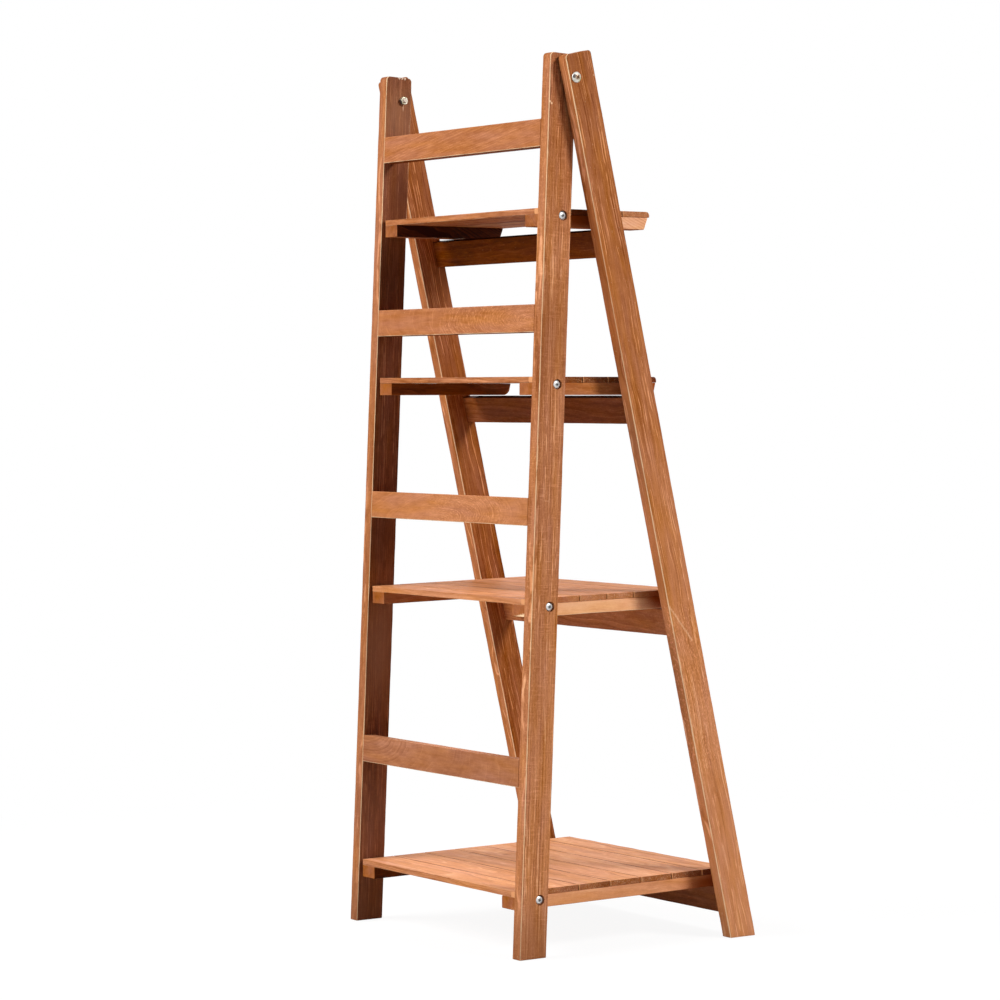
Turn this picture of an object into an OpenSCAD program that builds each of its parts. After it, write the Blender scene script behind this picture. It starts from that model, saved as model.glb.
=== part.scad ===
// Folding plant ladder stand: two leg frames joined by a bolt at the top of each side,
// with four slatted shelves that turn on screws in the front legs and rest on rear rails.
// Millimetres, X across, Y to the back, Z up, floor at Z = 0.
// Origin: middle of the footprint, on the floor.

/* [Frame] */
// outside width of the front leg frame
front_w = 362; // [330:1:400]
// height of the fold bolt above the floor
fold_z = 1017.5; // [1012:0.5:1040]
// backward lean of the front legs, in degrees
front_lean = 2.4; // [2.2:0.1:2.6]
// forward lean of the rear legs, in degrees
rear_lean = 13.25; // [13:0.05:13.6]

/* [Legs] */
// leg width, front edge to back edge
leg_w = 37.5; // [37:0.5:40]
// leg thickness
leg_t = 15.5; // [14.5:0.5:18]
// fold bolt behind the front edge of the front legs
front_bolt_in = 24.5; // [24:0.1:25]
// fold bolt behind the front edge of the rear legs
rear_bolt_in = 9.4; // [9:0.1:10]
// front leg above the fold bolt
front_over = 29; // [26:0.5:34]
// rear leg above the fold bolt
rear_over = 27.7; // [24:0.5:32]
// room between a front leg and a rear leg
leg_gap = 2.5; // [2.2:0.1:3.5]
// rounding of the leg tops
top_r = 7.5; // [3:0.5:9]
// rounding of the back corner of the rear leg tops
back_r = 4; // [2:0.5:8]

/* [Rungs] */
// rung height
rung_h = 32.5; // [30:0.5:36]
// rung thickness
rung_t = 15.5; // [14:0.5:16]
// middle of the top rung below the fold bolt
rung1_down = 62.9; // [55:0.1:75]
// middle of the second rung above the pivot of the second shelf
rung2_up = 76.9; // [65:0.1:90]
// middle of the third rung above the pivot of the third shelf
rung3_up = 109.7; // [95:0.1:125]
// middle of the bottom rung above the pivot of the bottom shelf
rung4_up = 145.7; // [120:0.1:170]

/* [Rails] */
// rail height
rail_h = 32.5; // [28:0.5:34]
// rail thickness
rail_t = 12.2; // [11:0.1:12.5]
// top front edge of the top rail below the pivot of the top shelf
rail1_down = 15.3; // [13.5:0.1:17]
// top front edge of the second rail below the pivot of the second shelf
rail2_down = 15.3; // [13.5:0.1:17]
// top front edge of the third rail below the pivot of the third shelf
rail3_down = 11.8; // [10:0.1:15]
// top front edge of the bottom rail below the pivot of the bottom shelf
rail4_down = 12.6; // [9:0.1:15]

/* [Shelves] */
// room between a shelf and each front leg
side_gap = 3; // [2:0.1:4]
// slat thickness
slat_t = 6.9; // [6.6:0.1:6.9]
// slat top above the pivot screw
slat_up = 9.1; // [9.1:0.1:9.5]
// batten height
batten_h = 14.7; // [14:0.1:15.2]
// batten width
batten_w = 27; // [24:0.5:30]
// pivot screw behind the front edge of the front legs
pivot_in = 26; // [25.6:0.1:26.2]
// room between a batten and the rail that holds it up
rest_gap = 0.25; // [0.1:0.05:0.3]
// pivot of the top shelf below the fold bolts
pivot1_down = 159.4; // [158:0.1:161]
// pivot of the second shelf below that of the top shelf
pivot2_down = 196.1; // [195:0.1:197]
// pivot of the third shelf below that of the second shelf
pivot3_down = 257.3; // [255.5:0.1:258]
// pivot of the bottom shelf above the floor
pivot4_up = 67.3; // [67:0.1:70]
// slat width on the top shelf
slat1_w = 40; // [38:0.1:41]
// slat width on the second shelf
slat2_w = 35.5; // [34:0.1:36.5]
// slat width on the third shelf
slat3_w = 38.8; // [37:0.1:39.3]
// slat width on the bottom shelf
slat4_w = 45; // [43:0.1:45.4]
// room between slats
slat_gap = 1; // [0.8:0.1:1.5]
// shelf front end ahead of its pivot
shelf_front = 22.3; // [21:0.1:23]

// rounding of the top back edge of a shelf
slat_r = 4; // [3:0.5:5]

/* [Joinery] */
// fold bolt diameter
bolt_d = 6; // [5:0.5:6]
// fold bolt head diameter
bolt_head_d = 12.7; // [11:0.1:13]
// fold bolt head height
bolt_head_h = 4; // [3:0.1:5]
// nut size across the flats
nut_af = 9; // [8.5:0.5:10]
// nut thickness
nut_t = 5; // [4:0.5:6]
// fold washer diameter
washer_d = 13; // [11:0.5:16]
// pivot screw shank diameter
screw_d = 4; // [3.8:0.1:4.1]
// pivot screw head diameter
screw_head_d = 10.4; // [9.5:0.1:11]
// pivot screw head height
screw_head_h = 3; // [2.5:0.1:3.5]
// depth of the pivot screw head below the leg face
screw_sink = 0.8; // [0.5:0.1:1.5]
// pivot screw length inside the batten
screw_bite = 15; // [12:0.5:16]
// rung dowel diameter
rung_dowel_d = 8; // [6:0.5:9]
// rail dowel diameter
rail_dowel_d = 6; // [5:0.5:7]
// distance between the two dowels of one end
dowel_pitch = 17; // [15:0.5:19]
// dowel length inside a leg
dowel_in_leg = 10; // [8:0.5:11]
// dowel length inside a rung or rail
dowel_in_rung = 18; // [12:0.5:22]
// slat pin diameter
pin_d = 1.4; // [1.2:0.1:1.8]
// slat pin length inside the slat
pin_bite = 4; // [3:0.5:4.5]

/* [Clearances] */
// room around a bolt or screw in the hole it turns in
turn_play = 0.05; // [0.02:0.01:0.09]
// room around a dowel in its hole
dowel_play = 0.05; // [0.02:0.01:0.1]
// room at the end of a dowel or screw
end_play = 0.4; // [0.2:0.1:0.6]
// room beside a washer, a nut or a head
face_play = 0.1; // [0.05:0.05:0.15]
// room around a pivot screw head
sink_play = 0.9; // [0.6:0.05:1]

/* [Output] */
// sub-part drawn, or all

/* [Hidden] */

big = 2000;
fn_bore = 32;
fn_pin = 14;
grey = [0.72, 0.72, 0.70];
wood_a = [0.72, 0.45, 0.27];
wood_b = [0.62, 0.37, 0.21];
wood_c = [0.80, 0.54, 0.36];

// across the stand
out_x = front_w / 2;
in_x = out_x - leg_t;
rear_in_x = out_x + leg_gap;
rear_out_x = rear_in_x + leg_t;
shelf_x = in_x - side_gap;

// fold line, in the side view
fold_u = (fold_z + front_bolt_in * sin(front_lean)) / cos(front_lean);
fold_y = fold_u * sin(front_lean) + front_bolt_in * cos(front_lean);
foot_y = fold_y + fold_z * tan(rear_lean) + (leg_w - rear_bolt_in) / cos(rear_lean);
mid_y = foot_y / 2;
rear_len = (fold_z + leg_w) / cos(rear_lean) + 10;

// height along the front legs of a point v behind their front edge, at height z
function front_u(v, z) = (z + v * sin(front_lean)) / cos(front_lean);
function front_y(v, z) = front_u(v, z) * sin(front_lean) + v * cos(front_lean);
// height along the rear legs of a point v behind the fold line, at height z
function rear_u(v, z) = (z - fold_z - v * sin(rear_lean)) / cos(rear_lean);
function rear_y(v, u) = fold_y + v * cos(rear_lean) - u * sin(rear_lean);
function rear_z(v, u) = fold_z + v * sin(rear_lean) + u * cos(rear_lean);

pivot1_z = fold_z - pivot1_down;
pivot2_z = pivot1_z - pivot2_down;
pivot_z = [pivot1_z, pivot2_z, pivot2_z - pivot3_down, pivot4_up];
rung_z = [fold_z - rung1_down, pivot_z[1] + rung2_up, pivot_z[2] + rung3_up, pivot_z[3] + rung4_up];
rail_z = [pivot_z[0] - rail1_down, pivot_z[1] - rail2_down, pivot_z[2] - rail3_down, pivot_z[3] - rail4_down];
slat_w = [slat1_w, slat2_w, slat3_w, slat4_w];
slat_n = [4, 5, 6, 7];

// rails: front face and back face behind the fold line, top along the leg
rail_back = leg_w - rear_bolt_in;
rail_front = rail_back - rail_t;
rail_top = [for (z = rail_z) rear_u(rail_front, z)];

// shelves: pivot, tilt that rests the battens on the back edge of the rail, size
pivot_y = [for (z = pivot_z) front_y(pivot_in, z)];
under = slat_t + batten_h - slat_up;
rest_dy = [for (k = [0:3]) rear_y(rail_back, rail_top[k]) - pivot_y[k]];
rest_dz = [for (k = [0:3]) rear_z(rail_back, rail_top[k]) - pivot_z[k]];
rest_d = [for (k = [0:3]) norm([rest_dy[k], rest_dz[k]])];
tilt = [for (k = [0:3]) atan2(rest_dz[k], rest_dy[k]) + asin((under + rest_gap) / rest_d[k])];
shelf_d = [for (k = [0:3]) slat_n[k] * slat_w[k] + (slat_n[k] - 1) * slat_gap];
batten_top = slat_up - slat_t;
batten_low = batten_top - batten_h;
batten_set = [2.5, 1, 1, 1];
batten_r = [0, 7, 7, 7];
batten_cut = [5.5, 3.5, 3.5, 3.5];

// hardware
bolt_len = rear_out_x - in_x + nut_t + 2.2;
sink_d = screw_head_d + 2 * sink_play;
sink_deep = screw_sink + screw_head_h + face_play;
pin_x = shelf_x - batten_w + 6;

module front_place() {
  translate([0, -mid_y, 0]) rotate([-front_lean, 0, 0]) children();
}

module rear_place() {
  translate([0, fold_y - mid_y, fold_z]) rotate([rear_lean, 0, 0]) children();
}

module shelf_place(k) {
  translate([0, pivot_y[k] - mid_y, pivot_z[k]]) rotate([tilt[k], 0, 0]) children();
}

module both() {
  children();
  mirror([1, 0, 0]) children();
}

// rod along +X from x0 to x1
module rod(x0, x1, d, n = fn_bore) {
  translate([x0, 0, 0]) rotate([0, 90, 0]) cylinder(h = x1 - x0, d = d, $fn = n);
}

// corner cutter: leaves a rounding of radius r in the corner at the origin,
// for a board that lies towards sy along Y and below along Z
module corner(r, sy, x0, x1) {
  difference() {
    translate([x0 - 1, sy > 0 ? -1 : -r, -r]) cube([x1 - x0 + 2, r + 1, r + 1]);
    translate([0, sy * r, -r]) rod(x0 - 2, x1 + 2, 2 * r, 64);
  }
}

module floor_cut() {
  translate([-big / 2, -big / 2, -big]) cube([big, big, big]);
}

module front_leg() {
  color(wood_a)
  difference() {
    front_place() difference() {
      translate([in_x, 0, -10]) cube([leg_t, leg_w, fold_u + front_over + 10]);
      translate([0, 0, fold_u + front_over]) corner(top_r, 1, in_x, out_x);
      translate([0, leg_w, fold_u + front_over]) corner(top_r, -1, in_x, out_x);
      translate([0, front_bolt_in, fold_u]) rod(in_x - 1, out_x + 1, bolt_d + 2 * turn_play);
      for (k = [0:3]) translate([0, pivot_in, front_u(pivot_in, pivot_z[k])]) {
        rod(in_x - 1, out_x + 1, screw_d + 2 * turn_play);
        rod(out_x - sink_deep, out_x + 1, sink_d);
      }
      for (k = [0:3]) for (s = [-1, 1])
        translate([0, rung_t / 2, rung_z[k] / cos(front_lean) + s * dowel_pitch / 2])
          rod(in_x - 1, in_x + dowel_in_leg, rung_dowel_d + 2 * dowel_play, 24);
    }
    floor_cut();
  }
}

module rear_leg() {
  color(wood_b)
  difference() {
    rear_place() difference() {
      translate([rear_in_x, -rear_bolt_in, -rear_len]) cube([leg_t, leg_w, rear_len + rear_over]);
      translate([0, -rear_bolt_in, rear_over]) corner(top_r, 1, rear_in_x, rear_out_x);
      translate([0, rail_back, rear_over]) corner(back_r, -1, rear_in_x, rear_out_x);
      rod(rear_in_x - 1, rear_out_x + 1, bolt_d + 2 * turn_play);
      for (k = [0:3]) for (s = [-1, 1])
        translate([0, rail_back - rail_t / 2, rail_top[k] - rail_h / 2 + s * dowel_pitch / 2])
          rod(rear_in_x - 1, rear_in_x + dowel_in_leg, rail_dowel_d + 2 * dowel_play, 24);
    }
    floor_cut();
  }
}

module front_rung(k) {
  color(wood_a)
  front_place() translate([0, 0, rung_z[k] / cos(front_lean)]) difference() {
    translate([-in_x, 0, -rung_h / 2]) cube([2 * in_x, rung_t, rung_h]);
    both() for (s = [-1, 1]) translate([0, rung_t / 2, s * dowel_pitch / 2])
      rod(in_x - dowel_in_rung, in_x + 1, rung_dowel_d + 2 * dowel_play, 24);
  }
}

module rear_rail(k) {
  color(wood_b)
  rear_place() translate([0, rail_front, rail_top[k] - rail_h / 2]) difference() {
    translate([-rear_in_x, 0, -rail_h / 2]) cube([2 * rear_in_x, rail_t, rail_h]);
    both() for (s = [-1, 1]) translate([0, rail_t / 2, s * dowel_pitch / 2])
      rod(rear_in_x - dowel_in_rung, rear_in_x + 1, rail_dowel_d + 2 * dowel_play, 24);
  }
}

module rung_dowels() {
  color(wood_c)
  front_place() both() for (k = [0:3]) for (s = [-1, 1])
    translate([0, rung_t / 2, rung_z[k] / cos(front_lean) + s * dowel_pitch / 2])
      rod(in_x - dowel_in_rung + end_play, in_x + dowel_in_leg - end_play, rung_dowel_d, 24);
}

module rail_dowels() {
  color(wood_c)
  rear_place() both() for (k = [0:3]) for (s = [-1, 1])
    translate([0, rail_back - rail_t / 2, rail_top[k] - rail_h / 2 + s * dowel_pitch / 2])
      rod(rear_in_x - dowel_in_rung + end_play, rear_in_x + dowel_in_leg - end_play,
        rail_dowel_d, 24);
}

// right batten of shelf k; its back end is cut at a slant, and rounded below on the three lower shelves
module batten(k) {
  back = shelf_d[k] - shelf_front - batten_set[k];
  cut = batten_cut[k];
  r = batten_r[k];
  slant = norm([batten_h, cut]);
  round_y = back - cut + cut * r / batten_h - r * slant / batten_h;
  color(wood_b)
  shelf_place(k) difference() {
    translate([shelf_x - batten_w, -shelf_front, batten_low])
      cube([batten_w, shelf_front + back, batten_h]);
    translate([shelf_x - batten_w - 1, back, batten_top]) rotate([-atan(cut / batten_h), 0, 0])
      translate([0, 0, -2 * batten_h]) cube([batten_w + 2, batten_h, 3 * batten_h]);
    if (r > 0) difference() {
      translate([shelf_x - batten_w - 1, round_y, batten_low - 1])
        cube([batten_w + 2, back - round_y, 1 + r * (1 - cut / slant)]);
      translate([0, round_y, batten_low + r]) rod(shelf_x - batten_w - 2, shelf_x + 2, 2 * r, 64);
    }
    rod(shelf_x - screw_bite - end_play, shelf_x + 1, screw_d + 2 * turn_play);
  }
}

// slat i of shelf k, counted from the front; the last one has a rounded back edge
module slat(k, i) {
  y0 = i * (slat_w[k] + slat_gap) - shelf_front;
  color(wood_c)
  shelf_place(k) difference() {
    translate([-shelf_x, y0, batten_top]) cube([2 * shelf_x, slat_w[k], slat_t]);
    if (i == slat_n[k] - 1)
      translate([0, y0 + slat_w[k], slat_up]) corner(slat_r, -1, -shelf_x, shelf_x);
  }
}

// screw or bolt along +X from x0 to x1, its pan head from x1 on, turned about the X axis
module pan_screw(x0, x1, d, tip_l, tip_d, head_d, head_h) {
  rise = head_h - 1;
  r = (head_d * head_d / 4 + rise * rise) / (2 * rise);
  wide = asin(head_d / 2 / r);
  dome = [for (t = [0:5]) [r * sin(wide * (1 - t / 5)), x1 + head_h - r + r * cos(wide * (1 - t / 5))]];
  rotate([0, 90, 0]) rotate_extrude($fn = fn_bore)
    polygon(concat([[0, x0], [tip_d / 2, x0], [d / 2, x0 + tip_l], [d / 2, x1], [head_d / 2, x1]], dome));
}

// cross slot of a head whose top is at x1
module cross_slot(x1, l, w) {
  for (a = [45, 135]) rotate([a, 0, 0])
    translate([x1 - 1.6, -l / 2, -w / 2]) cube([3, l, w]);
}

module shelf_screws(k) {
  head_x = out_x - screw_sink - screw_head_h;
  color(grey)
  shelf_place(k) both() difference() {
    pan_screw(shelf_x - screw_bite, head_x, screw_d, 3, 1, screw_head_d, screw_head_h);
    cross_slot(head_x + screw_head_h, 5, 0.9);
  }
}

// pins driven up through the battens into the slats, one at each slat end
module shelf_pins(k) {
  color(grey)
  shelf_place(k) both() for (i = [0:slat_n[k] - 1])
    translate([pin_x, (i + 0.5) * slat_w[k] + i * slat_gap - shelf_front, batten_low])
      cylinder(h = batten_h + pin_bite, d = pin_d, $fn = fn_pin);
}

module fold_bolts() {
  head_x = rear_out_x + face_play;
  color(grey)
  rear_place() both() difference() {
    pan_screw(rear_out_x - bolt_len, head_x, bolt_d, 0.8, bolt_d - 1.6, bolt_head_d, bolt_head_h);
    cross_slot(head_x + bolt_head_h, 6.5, 1.2);
  }
}

module fold_nuts() {
  color(grey)
  rear_place() both() difference() {
    rod(in_x - face_play - nut_t, in_x - face_play, nut_af / cos(30), 6);
    rod(in_x - nut_t - 1, in_x + 1, bolt_d + 2 * turn_play);
  }
}

module fold_washers() {
  color(grey)
  rear_place() both() difference() {
    rod(out_x + face_play, rear_in_x - face_play, washer_d);
    rod(out_x - 1, rear_in_x + 1, bolt_d + 2 * turn_play);
  }
}

mirror([1, 0, 0]) front_leg();  // front_leg_left
front_leg();  // front_leg_right
front_rung(0);  // front_rung_1
front_rung(1);  // front_rung_2
front_rung(2);  // front_rung_3
front_rung(3);  // front_rung_4
mirror([1, 0, 0]) rear_leg();  // rear_leg_left
rear_leg();  // rear_leg_right
rear_rail(0);  // rear_rail_1
rear_rail(1);  // rear_rail_2
rear_rail(2);  // rear_rail_3
rear_rail(3);  // rear_rail_4
mirror([1, 0, 0]) batten(0);  // shelf_1_batten_left
batten(0);  // shelf_1_batten_right
slat(0, 0);  // shelf_1_slat_1
slat(0, 1);  // shelf_1_slat_2
slat(0, 2);  // shelf_1_slat_3
slat(0, 3);  // shelf_1_slat_4
shelf_screws(0);  // shelf_1_screws
shelf_pins(0);  // shelf_1_pins
mirror([1, 0, 0]) batten(1);  // shelf_2_batten_left
batten(1);  // shelf_2_batten_right
slat(1, 0);  // shelf_2_slat_1
slat(1, 1);  // shelf_2_slat_2
slat(1, 2);  // shelf_2_slat_3
slat(1, 3);  // shelf_2_slat_4
slat(1, 4);  // shelf_2_slat_5
shelf_screws(1);  // shelf_2_screws
shelf_pins(1);  // shelf_2_pins
mirror([1, 0, 0]) batten(2);  // shelf_3_batten_left
batten(2);  // shelf_3_batten_right
slat(2, 0);  // shelf_3_slat_1
slat(2, 1);  // shelf_3_slat_2
slat(2, 2);  // shelf_3_slat_3
slat(2, 3);  // shelf_3_slat_4
slat(2, 4);  // shelf_3_slat_5
slat(2, 5);  // shelf_3_slat_6
shelf_screws(2);  // shelf_3_screws
shelf_pins(2);  // shelf_3_pins
mirror([1, 0, 0]) batten(3);  // shelf_4_batten_left
batten(3);  // shelf_4_batten_right
slat(3, 0);  // shelf_4_slat_1
slat(3, 1);  // shelf_4_slat_2
slat(3, 2);  // shelf_4_slat_3
slat(3, 3);  // shelf_4_slat_4
slat(3, 4);  // shelf_4_slat_5
slat(3, 5);  // shelf_4_slat_6
slat(3, 6);  // shelf_4_slat_7
shelf_screws(3);  // shelf_4_screws
shelf_pins(3);  // shelf_4_pins
fold_bolts();
fold_nuts();
fold_washers();
rung_dowels();
rail_dowels();
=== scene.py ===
"""Looks of the plant ladder stand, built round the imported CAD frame.

Each board is a lofted mesh in its own axes: a along the grain, b across its width, c through its thickness.
Sizes are in millimetres and repeat the named sizes of part.scad; meshes are made in metres.
"""

import math

import bmesh
import bpy
from mathutils import Matrix, Vector, noise


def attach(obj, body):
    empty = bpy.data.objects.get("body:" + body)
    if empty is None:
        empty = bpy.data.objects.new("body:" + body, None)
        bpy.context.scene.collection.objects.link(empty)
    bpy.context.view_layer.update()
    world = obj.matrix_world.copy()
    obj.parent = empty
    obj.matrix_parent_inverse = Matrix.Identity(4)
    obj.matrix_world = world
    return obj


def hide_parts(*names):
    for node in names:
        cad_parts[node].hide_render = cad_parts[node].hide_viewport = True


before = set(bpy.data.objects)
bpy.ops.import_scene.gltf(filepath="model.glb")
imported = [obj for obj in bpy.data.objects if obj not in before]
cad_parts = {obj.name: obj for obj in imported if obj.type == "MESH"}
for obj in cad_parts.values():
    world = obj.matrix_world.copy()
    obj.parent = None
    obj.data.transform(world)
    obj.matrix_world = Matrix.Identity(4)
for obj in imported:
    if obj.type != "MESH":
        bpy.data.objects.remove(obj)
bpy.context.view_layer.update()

MM = 0.001

# -------------------- sizes, as in part.scad
FRONT_W = 362
FOLD_Z = 1017.5
FRONT_LEAN = math.radians(2.4)
REAR_LEAN = math.radians(13.25)
LEG_W = 37.5
LEG_T = 15.5
FRONT_BOLT_IN = 24.5
REAR_BOLT_IN = 9.4
FRONT_OVER = 29
REAR_OVER = 27.7
LEG_GAP = 2.5
BACK_R = 4
RUNG_H = 32.5
RUNG_T = 15.5
RAIL_H = 32.5
RAIL_T = 12.2
SIDE_GAP = 3
SLAT_T = 6.9
SLAT_UP = 9.1
BATTEN_H = 14.7
BATTEN_W = 27
PIVOT_IN = 26
REST_GAP = 0.25
PIVOT_Z = (858.1, 662, 404.7, 67.3)
RUNG_UP = (-62.9, 76.9, 109.7, 145.7)  # the first from the fold bolts, the others from the pivots
RAIL_DOWN = (15.3, 15.3, 11.8, 12.6)
RUNG_Z = [z + up for z, up in zip((FOLD_Z,) + PIVOT_Z[1:], RUNG_UP)]
RAIL_Z = [z - down for z, down in zip(PIVOT_Z, RAIL_DOWN)]
SLAT_W = (40, 35.5, 38.8, 45)
SLAT_N = (4, 5, 6, 7)
SLAT_GAP = 1
SLAT_R = 4
SHELF_FRONT = 22.3
BOLT_D = 6
BOLT_HEAD_D = 12.7
BOLT_HEAD_H = 4
NUT_AF = 9
NUT_T = 5
SCREW_D = 4
SCREW_HEAD_D = 10.4
SCREW_HEAD_H = 3
SCREW_SINK = 0.8
SCREW_BITE = 15
RUNG_DOWEL_D = 8
RAIL_DOWEL_D = 6
DOWEL_PITCH = 17
DOWEL_IN_LEG = 10
DOWEL_IN_RUNG = 18
TURN_PLAY = 0.05
DOWEL_PLAY = 0.05
FACE_PLAY = 0.1
SINK_PLAY = 0.9
BATTEN_SET = (2.5, 1, 1, 1)
BATTEN_R = (0, 7, 7, 7)
BATTEN_CUT = (5.5, 3.5, 3.5, 3.5)

# -------------------- sizes of the visible meshes alone
FOOT_UP = 0.1  # room under the feet for their uneven ends
BOLT_HEAD_IN = 0.03  # keeps the bolt heads inside the CAD box
TOP_R = 5  # as the photo shows it; part.scad has 7.5
REAR_TOP_R = 4.5
PAST = 2  # how far a cutter reaches past the face that it opens
PILOT_PAST = 0.4  # how far the bore in a batten reaches past the screw

# -------------------- derived places
OUT_X = FRONT_W / 2
IN_X = OUT_X - LEG_T
REAR_IN_X = OUT_X + LEG_GAP
REAR_OUT_X = REAR_IN_X + LEG_T
SHELF_X = IN_X - SIDE_GAP
SF, CF = math.sin(FRONT_LEAN), math.cos(FRONT_LEAN)
SR, CR = math.sin(REAR_LEAN), math.cos(REAR_LEAN)
FOLD_U = (FOLD_Z + FRONT_BOLT_IN * SF) / CF
FOLD_Y = FOLD_U * SF + FRONT_BOLT_IN * CF
FOOT_Y = FOLD_Y + FOLD_Z * SR / CR + (LEG_W - REAR_BOLT_IN) / CR
MID_Y = FOOT_Y / 2
RAIL_BACK = LEG_W - REAR_BOLT_IN
RAIL_FRONT = RAIL_BACK - RAIL_T
UNDER = SLAT_T + BATTEN_H - SLAT_UP
BATTEN_TOP = SLAT_UP - SLAT_T
BATTEN_LOW = BATTEN_TOP - BATTEN_H
SHELF_D = [n * w + (n - 1) * SLAT_GAP for n, w in zip(SLAT_N, SLAT_W)]


def front_u(v, z):
    """Height along a front leg of the point v behind its front edge, at height z."""
    return (z + v * SF) / CF


def rear_u(v, z):
    """Height along a rear leg of the point v behind the fold line, at height z."""
    return (z - FOLD_Z - v * SR) / CR


RAIL_TOP = [rear_u(RAIL_FRONT, z) for z in RAIL_Z]
PIVOT_Y = [front_u(PIVOT_IN, z) * SF + PIVOT_IN * CF for z in PIVOT_Z]


def shelf_tilt(k):
    """Tilt that rests shelf k's battens on the back top edge of its rail."""
    dy = FOLD_Y + RAIL_BACK * CR - RAIL_TOP[k] * SR - PIVOT_Y[k]
    dz = FOLD_Z + RAIL_BACK * SR + RAIL_TOP[k] * CR - PIVOT_Z[k]
    return math.atan2(dz, dy) + math.asin((UNDER + REST_GAP) / math.hypot(dy, dz))


TILT = [shelf_tilt(k) for k in range(4)]


def axes(origin, a, b):
    """Board axes in the row frame: columns a, b and a x b, at an origin in millimetres."""
    a, b = Vector(a), Vector(b)
    m = Matrix((a, b, a.cross(b))).transposed().to_4x4()
    m.translation = Vector(origin)
    return m


ALONG_X = (1, 0, 0)
FRONT_UP, FRONT_BACK = (0, SF, CF), (0, CF, -SF)
REAR_UP, REAR_BACK = (0, -SR, CR), (0, CR, SR)
FRONT_LEG_AXES = axes((0, -MID_Y, 0), FRONT_UP, FRONT_BACK)
REAR_LEG_AXES = axes((0, FOLD_Y - MID_Y, FOLD_Z), REAR_UP, REAR_BACK)
RUNG_AXES = axes((0, -MID_Y, 0), ALONG_X, FRONT_UP)
RAIL_AXES = axes((0, FOLD_Y - MID_Y, FOLD_Z), ALONG_X, REAR_UP)


def shelf_axes(k, along_x):
    """Axes of a slat (grain along X) or of a batten (grain to the back) of shelf k, at its pivot."""
    t = TILT[k]
    back, up = (0, math.cos(t), math.sin(t)), (0, -math.sin(t), math.cos(t))
    origin = (0, PIVOT_Y[k] - MID_Y, PIVOT_Z[k])
    return axes(origin, ALONG_X, back) if along_x else axes(origin, back, up)


# -------------------- node trees in code
class Tree:
    """Small helper that adds nodes and links numbers or sockets to them."""

    def __init__(self, tree):
        self.tree = tree

    def add(self, kind, **settings):
        node = self.tree.nodes.new(kind)
        for key, value in settings.items():
            setattr(node, key, value)
        return node

    def put(self, socket, value):
        if isinstance(value, bpy.types.NodeSocket):
            self.tree.links.new(value, socket)
        elif value is not None:
            socket.default_value = value

    def feed(self, node, *values):
        """Fills a node's inputs in their order and gives its first output."""
        for socket, value in zip(node.inputs, values):
            self.put(socket, value)
        return node.outputs[0]

    def fill(self, node, **values):
        """Fills a node's inputs by name, with _ for a space."""
        for name, value in values.items():
            self.put(node.inputs[name.replace("_", " ")], value)
        return node

    def math(self, op, a, b=None, c=None, clamp=False):
        return self.feed(self.add("ShaderNodeMath", operation=op, use_clamp=clamp), a, b, c)

    def madd(self, a, b, c, clamp=False):
        """a * b + c"""
        return self.math("MULTIPLY_ADD", a, b, c, clamp)

    def vector(self, op, a, b=None):
        node = self.add("ShaderNodeVectorMath", operation=op)
        self.feed(node, a, b)
        return node.outputs["Value" if op in ("DOT_PRODUCT", "LENGTH") else "Vector"]

    def scaled(self, v, scale):
        node = self.add("ShaderNodeVectorMath", operation="SCALE")
        return self.fill(node, Vector=v, Scale=scale).outputs[0]

    def split(self, v):
        node = self.add("ShaderNodeSeparateXYZ")
        self.feed(node, v)
        return node.outputs

    def join(self, x, y, z):
        return self.feed(self.add("ShaderNodeCombineXYZ"), x, y, z)

    def place(self, output="Object"):
        return self.add("ShaderNodeTexCoord").outputs[output]

    def turned(self, v, ways):
        """Lengths of v along three directions."""
        return self.join(*(self.vector("DOT_PRODUCT", v, way) for way in ways))

    def noise(self, v, scale=1, detail=2, rough=0.5, colour=False):
        node = self.add("ShaderNodeTexNoise", noise_dimensions="3D")
        self.fill(node, Vector=v, Scale=scale, Detail=detail, Roughness=rough)
        return node.outputs["Color" if colour else "Fac"]

    def step(self, v, lo, hi, out_lo=0, out_hi=1):
        node = self.add("ShaderNodeMapRange", interpolation_type="SMOOTHSTEP")
        return self.feed(node, v, lo, hi, out_lo, out_hi)

    def mix(self, fac, a, b):
        node = self.add("ShaderNodeMix", data_type="RGBA")
        for socket, value in zip((0, 6, 7), (fac, a, b)):
            self.put(node.inputs[socket], value)
        return node.outputs[2]

    def ramp(self, fac, stops):
        node = self.add("ShaderNodeValToRGB")
        ramp = node.color_ramp
        while len(ramp.elements) < len(stops):
            ramp.elements.new(0.5)
        for element, (at, colour) in zip(ramp.elements, stops):
            element.position = at
            element.color = colour
        return self.feed(node, fac)


def srgb(r, g, b):
    """Linear colour from 8-bit sRGB numbers."""
    def linear(v):
        v /= 255
        return v / 12.92 if v <= 0.04045 else ((v + 0.055) / 1.055) ** 2.4
    return (linear(r), linear(g), linear(b), 1)


WOOD_STOPS = (
    (0, srgb(246, 187, 142)), (0.2, srgb(227, 157, 112)), (0.4, srgb(200, 131, 86)), (0.55, srgb(168, 102, 61)),
    (0.7, srgb(131, 69, 30)), (0.85, srgb(92, 41, 12)), (1, srgb(52, 17, 4)))
WORN = srgb(252, 214, 170)
NONE = (0, 0, 0)
WOOD_INPUTS = dict(
    Along=(1, 0, 0), Width=(0, 1, 0), Seed=NONE, Pith=(30, 30, 5), Drift=(0, 0, 2), Face_plus=NONE, Face_minus=NONE,
    Tone=0.45, Rise=NONE, Lines=0.12, Pale_lines=0.15, Fine_lines=0.1, Figure=(0, 5000, 0), Streaks=0.2, Speckle=0.22,
    Mottle=0.15, Fleck=0.5, Worn=1, Saturation=1, Dull_minus=NONE, Saw=0)
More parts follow.
